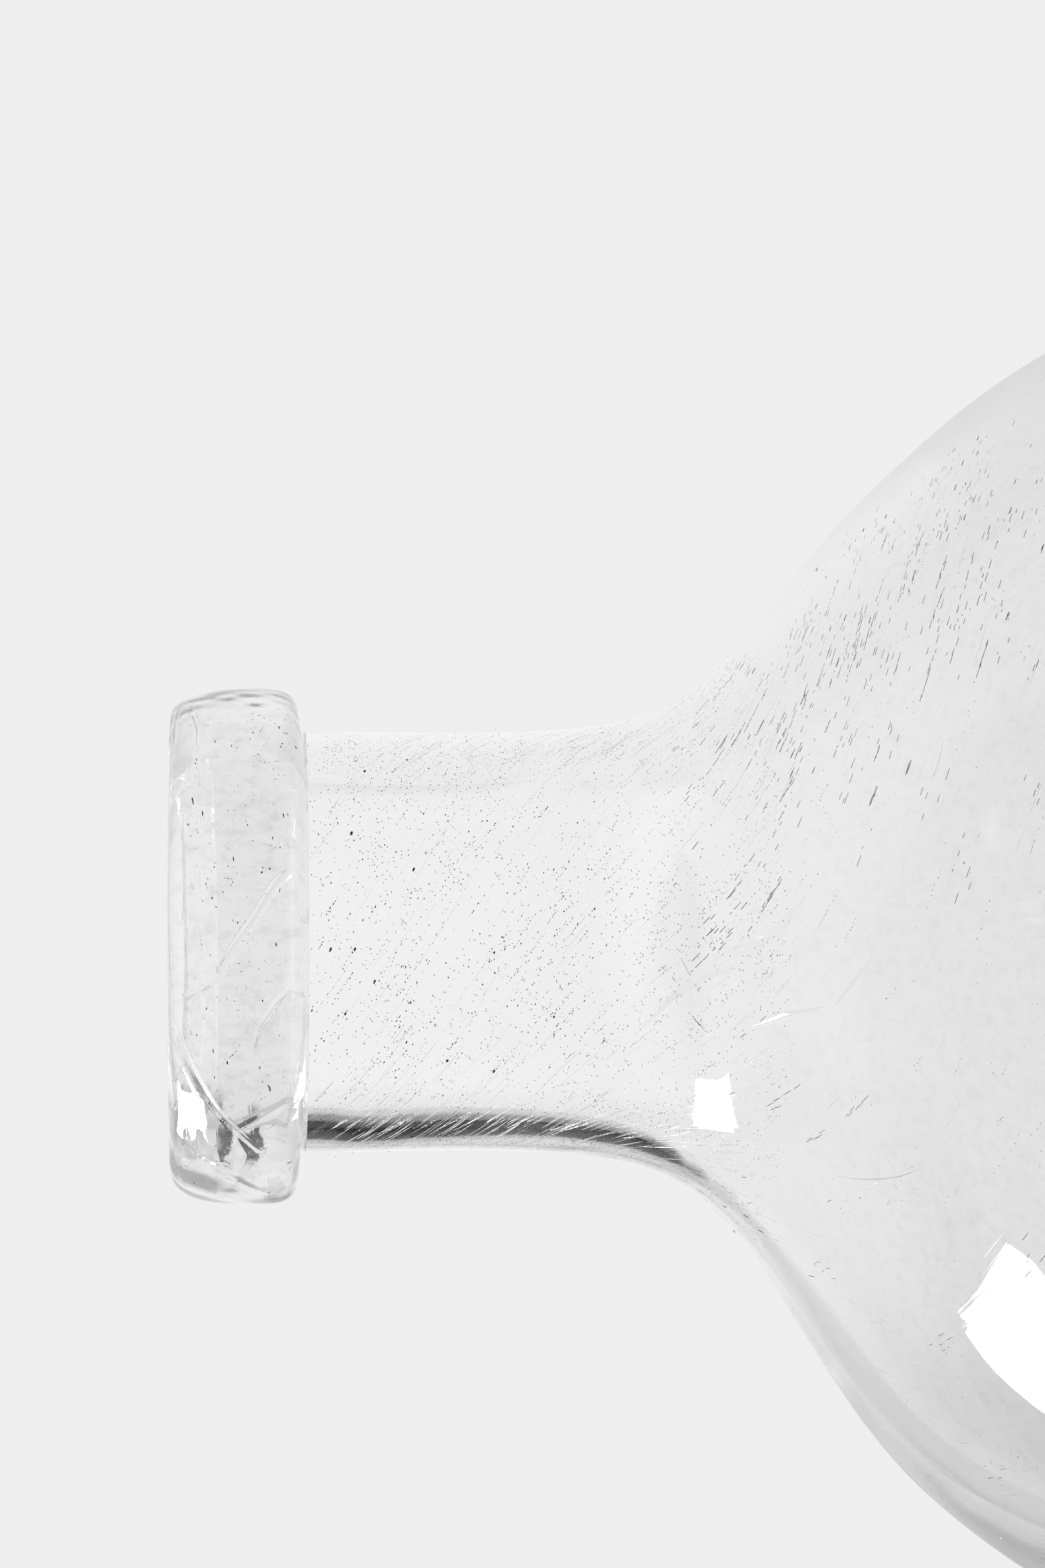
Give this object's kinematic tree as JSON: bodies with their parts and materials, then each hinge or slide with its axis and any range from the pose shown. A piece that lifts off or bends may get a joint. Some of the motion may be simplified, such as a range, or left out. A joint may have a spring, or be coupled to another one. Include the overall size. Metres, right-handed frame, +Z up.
{
  "type": "glass demijohn",
  "caption": "Hand-blown clear glass demijohn: a globe on a pushed-up base, with a short neck and a thick applied lip round an open mouth.",
  "frame": {"origin": "on the surface that the bottle stands on, under the middle of its globe", "axes": "+Z up the bottle towards its mouth; +X is the side that the neck stands over to"},
  "size_m": [0.1828, 0.1828, 0.24],
  "materials": {
    "vessel_glass": "clear hand-blown glass, seedy and twisted, fire-polished",
    "lip_glass": "clear glass wound on hot, with tool marks and folds",
    "pontil_glass": "broken and ground glass, frosty"
  },
  "bodies": {
    "root": {"blown_vessel": "vessel_glass", "applied_lip": "lip_glass", "pontil_scar": "pontil_glass"}
  },
  "joints": []
}
